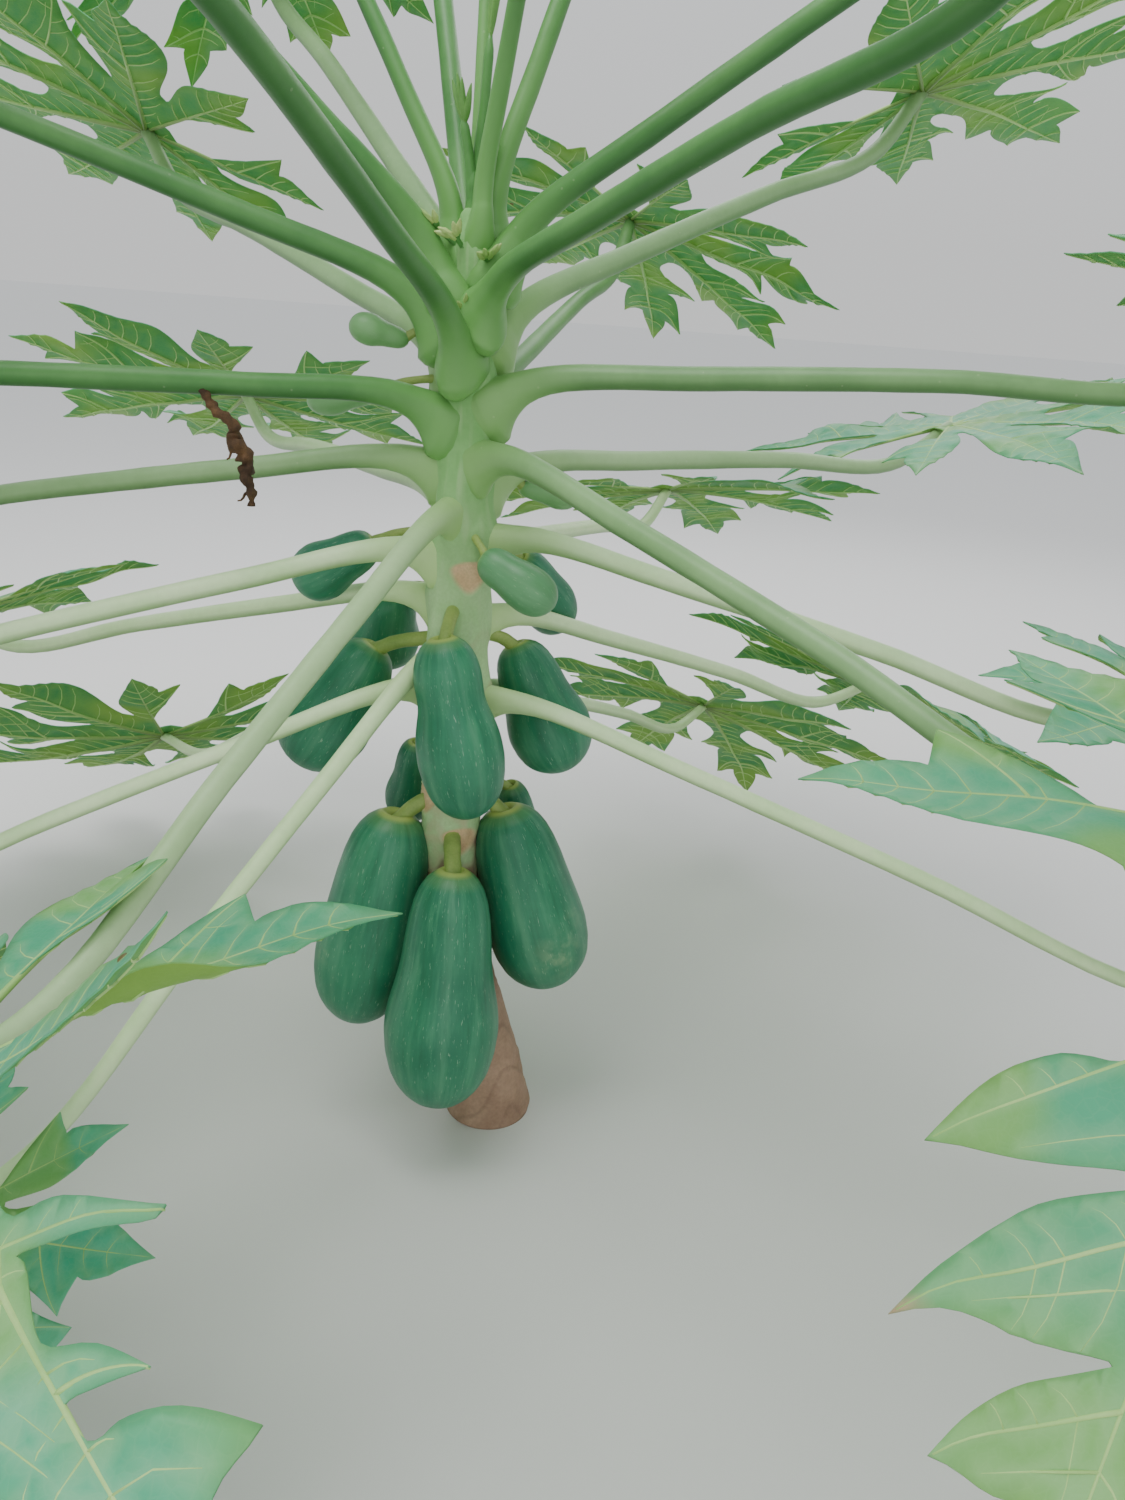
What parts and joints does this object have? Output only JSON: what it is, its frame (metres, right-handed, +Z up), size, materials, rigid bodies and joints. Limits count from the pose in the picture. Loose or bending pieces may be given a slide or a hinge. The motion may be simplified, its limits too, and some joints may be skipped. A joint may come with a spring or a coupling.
{
  "type": "dwarf papaya plant in fruit",
  "caption": "Young dwarf papaya plant in fruit: a slim trunk with a spiral crown of long-stalked lobed leaves over hanging green fruits, rooted in the ground.",
  "frame": {"origin": "middle of the trunk's flat cut at ground level", "axes": "+Z up along the trunk, -Y towards the viewer of the plant's front, +X to that viewer's right"},
  "size_m": [1.7728, 1.6589, 1.2302],
  "materials": {
    "bark": "smooth green and tan bark with leaf scars",
    "leaf": "matt waxy blade on a smooth pale green stalk",
    "young_leaf": "smooth pale green",
    "fruit_skin": "waxy dark green skin, half gloss",
    "flower": "waxy pale green and cream",
    "dried_stem": "rough dry brown"
  },
  "bodies": {
    "root": {"trunk": "bark", "leaf_00": "leaf", "leaf_01": "leaf", "leaf_02": "leaf", "leaf_03": "leaf", "leaf_04": "leaf", "leaf_05": "leaf", "leaf_06": "leaf", "leaf_08": "leaf", "leaf_09": "leaf", "leaf_10": "leaf", "leaf_11": "leaf", "leaf_12": "leaf", "leaf_13": "leaf", "leaf_14": "leaf", "leaf_15": "leaf", "leaf_16": "leaf", "leaf_17": "leaf", "leaf_18": "leaf", "leaf_19": "leaf", "leaf_20": "leaf", "leaf_21": "leaf", "leaf_22": "leaf", "leaf_23": "leaf", "leaf_24": "leaf", "leaf_25": "leaf", "leaf_26": "leaf", "leaf_27": "leaf", "leaf_29": "leaf", "leaf_30": "leaf", "leaf_31": "leaf", "leaf_32": "leaf", "heart": "young_leaf", "fruit_low_front": "fruit_skin", "fruit_low_left": "fruit_skin", "fruit_low_right": "fruit_skin", "fruit_low_behind": "fruit_skin", "fruit_low_hidden": "fruit_skin", "fruit_middle_front": "fruit_skin", "fruit_middle_left": "fruit_skin", "fruit_middle_right": "fruit_skin", "fruit_middle_behind": "fruit_skin", "fruit_upper_left": "fruit_skin", "fruit_upper_front": "fruit_skin", "fruit_upper_right": "fruit_skin", "fruit_young_right": "fruit_skin", "fruit_young_left": "fruit_skin", "fruit_shaded_left": "fruit_skin", "flowers_1": "flower", "flowers_2": "flower", "flowers_3": "flower", "flowers_4": "flower", "flowers_5": "flower", "dried_stem": "dried_stem"}
  },
  "joints": []
}
